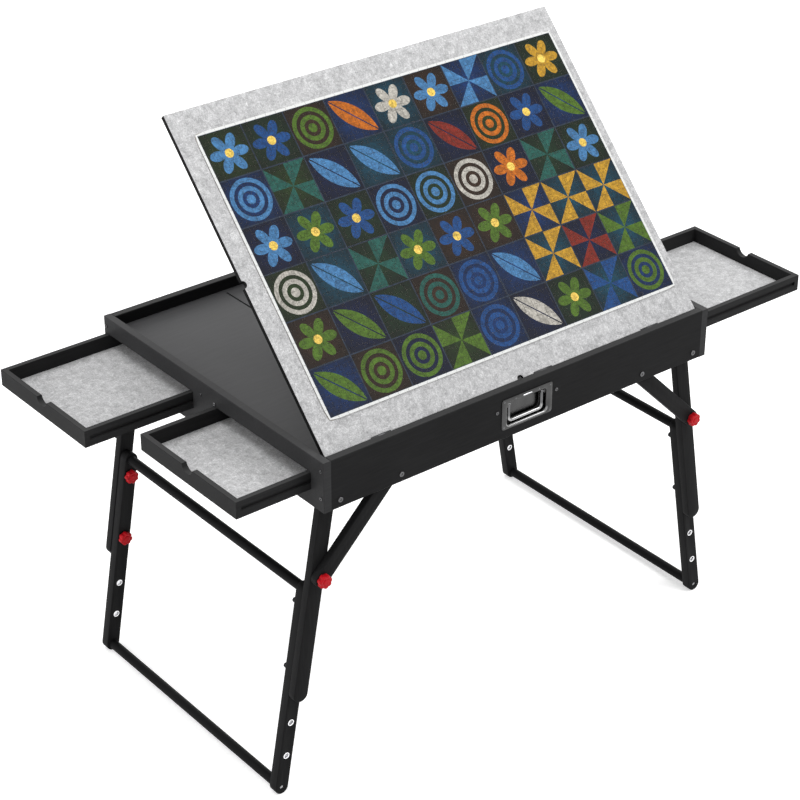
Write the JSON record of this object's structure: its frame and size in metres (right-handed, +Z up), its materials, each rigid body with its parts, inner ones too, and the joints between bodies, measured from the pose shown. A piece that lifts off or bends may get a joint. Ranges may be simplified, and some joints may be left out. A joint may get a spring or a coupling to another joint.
{
  "type": "jigsaw puzzle table",
  "caption": "Portable black wooden jigsaw table with a propped tilting felt board, side drawers, folding telescoping legs with braces and red knobs, and a flush carry handle.",
  "frame": {"origin": "on the floor, under the middle of the whole table with its drawers drawn out as stored; the case itself is 31 mm towards -X", "axes": "+X along the long side, towards the right end; +Y from the handle side to the far side; +Z up"},
  "size_m": [1.352, 0.6548, 1.1052],
  "materials": {
    "case_walls": "black lacquer, satin",
    "tray_floor": "black-grey lacquer, satin",
    "inner_frame": "black stain",
    "drawers": "black lacquer, satin",
    "upper_legs": "black lacquer, satin",
    "lower_legs": "black lacquer, satin",
    "crossbars": "black lacquer, satin",
    "braces": "black lacquer, satin",
    "board": "black edge, satin",
    "felt": "mottled grey felt",
    "jigsaw": "printed, semi-gloss",
    "knobs": "red, glossy",
    "hinges": "plated steel",
    "prop": "black, satin",
    "handle_plate": "dark grey, satin",
    "handle_bail": "polished",
    "screws": "zinc plated",
    "lock_nuts": "black oxide"
  },
  "bodies": {
    "case": {"end_panel_left": "case_walls", "end_panel_right": "case_walls", "front_panel": "case_walls", "back_panel": "case_walls", "tray_floor": "tray_floor", "cross_beam_left": "inner_frame", "cross_beam_right": "inner_frame", "drawer_rail_left": "inner_frame", "drawer_rail_right": "inner_frame", "divider_left": "inner_frame", "divider_right": "inner_frame", "handle_plate": "handle_plate", "frame_screws": "screws", "pivot_bolts": "screws", "hinge_frame_leaves": "hinges"},
    "board": {"puzzle_board": "board", "board_felt": "felt", "jigsaw_picture": "jigsaw", "hinge_board_leaves": "hinges", "prop_brackets": "prop"},
    "prop": {"prop_frame": "prop"},
    "bail": {"handle_bail": "handle_bail"},
    "left_front_drawer": {"drawer_left_front": "drawers", "drawer_felt_left_front": "felt"},
    "left_back_drawer": {"drawer_left_back": "drawers", "drawer_felt_left_back": "felt"},
    "right_front_drawer": {"drawer_right_front": "drawers", "drawer_felt_right_front": "felt"},
    "right_back_drawer": {"drawer_right_back": "drawers", "drawer_felt_right_back": "felt"},
    "left_leg_frame": {"upper_leg_left_front": "upper_legs", "upper_leg_left_back": "upper_legs"},
    "left_lower_frame": {"lower_leg_left_front": "lower_legs", "lower_leg_left_back": "lower_legs", "upper_crossbar_left": "crossbars", "lower_crossbar_left": "crossbars", "leg_screws_left": "screws"},
    "left_front_brace": {"brace_left_front": "braces"},
    "left_front_brace_knob": {"brace_knob_left_front": "knobs"},
    "left_front_high_knob": {"height_knob_high_left_front": "lock_nuts"},
    "left_front_low_knob": {"height_knob_low_left_front": "lock_nuts"},
    "left_back_brace": {"brace_left_back": "braces"},
    "left_back_brace_knob": {"brace_knob_left_back": "knobs"},
    "left_back_high_knob": {"height_knob_high_left_back": "knobs"},
    "left_back_low_knob": {"height_knob_low_left_back": "knobs"},
    "right_leg_frame": {"upper_leg_right_front": "upper_legs", "upper_leg_right_back": "upper_legs"},
    "right_lower_frame": {"lower_leg_right_front": "lower_legs", "lower_leg_right_back": "lower_legs", "upper_crossbar_right": "crossbars", "lower_crossbar_right": "crossbars", "leg_screws_right": "screws"},
    "right_front_brace": {"brace_right_front": "braces"},
    "right_front_brace_knob": {"brace_knob_right_front": "knobs"},
    "right_front_high_knob": {"height_knob_high_right_front": "lock_nuts"},
    "right_front_low_knob": {"height_knob_low_right_front": "lock_nuts"},
    "right_back_brace": {"brace_right_back": "braces"},
    "right_back_brace_knob": {"brace_knob_right_back": "knobs"},
    "right_back_high_knob": {"height_knob_high_right_back": "knobs"},
    "right_back_low_knob": {"height_knob_low_right_back": "knobs"}
  },
  "joints": [
    {"name": "board_tilt", "type": "hinge", "parent": "case", "child": "board", "pos_m": [-0.031, -0.308, 0.65799], "axis": [-1, 0, 0], "range_deg": [0, 46.5]},
    {"name": "prop_fold", "type": "hinge", "parent": "board", "child": "prop", "pos_m": [-0.031, -0.09996, 0.85485], "axis": [1, 0, 0], "range_deg": [0, 90.39]},
    {"name": "handle_swing", "type": "hinge", "parent": "case", "child": "bail", "pos_m": [-0.031, -0.32, 0.62679], "axis": [-1, 0, 0], "range_deg": [0, 90]},
    {"name": "left_front_drawer_slide", "type": "slide", "parent": "case", "child": "left_front_drawer", "axis": [-1, 0, 0], "range_m": [-0.146, 0.139]},
    {"name": "left_back_drawer_slide", "type": "slide", "parent": "case", "child": "left_back_drawer", "axis": [-1, 0, 0], "range_m": [-0.215, 0.07]},
    {"name": "right_front_drawer_slide", "type": "slide", "parent": "case", "child": "right_front_drawer", "axis": [1, 0, 0], "range_m": [-0.277, 0.008]},
    {"name": "right_back_drawer_slide", "type": "slide", "parent": "case", "child": "right_back_drawer", "axis": [1, 0, 0], "range_m": [0, 0.285]},
    {"name": "left_leg_fold", "type": "hinge", "parent": "case", "child": "left_leg_frame", "pos_m": [-0.42833, 0, 0.58099], "axis": [0, -1, 0], "range_deg": [0, 100]},
    {"name": "left_leg_height", "type": "slide", "parent": "left_leg_frame", "child": "left_lower_frame", "axis": [0.1736, 0, 0.9848], "range_m": [0, 0.193]},
    {"name": "left_front_brace_fold", "type": "hinge", "parent": "case", "child": "left_front_brace", "pos_m": [-0.3025, -0.3097, 0.58099], "axis": [0, -1, 0], "range_deg": [0, 127]},
    {"name": "left_front_brace_knob_turn", "type": "hinge", "parent": "left_front_brace", "child": "left_front_brace_knob", "pos_m": [-0.45525, -0.3097, 0.42835], "axis": [0, 1, 0], "continuous": true},
    {"name": "left_front_high_knob_turn", "type": "hinge", "parent": "left_lower_frame", "child": "left_front_high_knob", "pos_m": [-0.46723, -0.2601, 0.3604], "axis": [0, -1, 0], "continuous": true},
    {"name": "left_front_low_knob_turn", "type": "hinge", "parent": "left_lower_frame", "child": "left_front_low_knob", "pos_m": [-0.48911, -0.2601, 0.23631], "axis": [0, -1, 0], "continuous": true},
    {"name": "left_back_brace_fold", "type": "hinge", "parent": "case", "child": "left_back_brace", "pos_m": [-0.3025, 0.3097, 0.58099], "axis": [0, -1, 0], "range_deg": [0, 127]},
    {"name": "left_back_brace_knob_turn", "type": "hinge", "parent": "left_back_brace", "child": "left_back_brace_knob", "pos_m": [-0.45525, 0.3097, 0.42835], "axis": [0, -1, 0], "continuous": true},
    {"name": "left_back_high_knob_turn", "type": "hinge", "parent": "left_lower_frame", "child": "left_back_high_knob", "pos_m": [-0.46723, 0.2601, 0.3604], "axis": [0, 1, 0], "continuous": true},
    {"name": "left_back_low_knob_turn", "type": "hinge", "parent": "left_lower_frame", "child": "left_back_low_knob", "pos_m": [-0.48911, 0.2601, 0.23631], "axis": [0, 1, 0], "continuous": true},
    {"name": "right_leg_fold", "type": "hinge", "parent": "case", "child": "right_leg_frame", "pos_m": [0.36633, 0, 0.58099], "axis": [0, 1, 0], "range_deg": [0, 100]},
    {"name": "right_leg_height", "type": "slide", "parent": "right_leg_frame", "child": "right_lower_frame", "axis": [-0.1736, 0, 0.9848], "range_m": [0, 0.193]},
    {"name": "right_front_brace_fold", "type": "hinge", "parent": "case", "child": "right_front_brace", "pos_m": [0.2405, -0.3097, 0.58099], "axis": [0, 1, 0], "range_deg": [0, 127]},
    {"name": "right_front_brace_knob_turn", "type": "hinge", "parent": "right_front_brace", "child": "right_front_brace_knob", "pos_m": [0.39325, -0.3097, 0.42835], "axis": [0, 1, 0], "continuous": true},
    {"name": "right_front_high_knob_turn", "type": "hinge", "parent": "right_lower_frame", "child": "right_front_high_knob", "pos_m": [0.40523, -0.2601, 0.3604], "axis": [0, -1, 0], "continuous": true},
    {"name": "right_front_low_knob_turn", "type": "hinge", "parent": "right_lower_frame", "child": "right_front_low_knob", "pos_m": [0.42711, -0.2601, 0.23631], "axis": [0, -1, 0], "continuous": true},
    {"name": "right_back_brace_fold", "type": "hinge", "parent": "case", "child": "right_back_brace", "pos_m": [0.2405, 0.3097, 0.58099], "axis": [0, 1, 0], "range_deg": [0, 127]},
    {"name": "right_back_brace_knob_turn", "type": "hinge", "parent": "right_back_brace", "child": "right_back_brace_knob", "pos_m": [0.39325, 0.3097, 0.42835], "axis": [0, -1, 0], "continuous": true},
    {"name": "right_back_high_knob_turn", "type": "hinge", "parent": "right_lower_frame", "child": "right_back_high_knob", "pos_m": [0.40523, 0.2601, 0.3604], "axis": [0, 1, 0], "continuous": true},
    {"name": "right_back_low_knob_turn", "type": "hinge", "parent": "right_lower_frame", "child": "right_back_low_knob", "pos_m": [0.42711, 0.2601, 0.23631], "axis": [0, 1, 0], "continuous": true}
  ],
  "couplings": [
    {"joint": "prop_fold", "follows": "board_tilt", "ratio": 1.933}
  ]
}
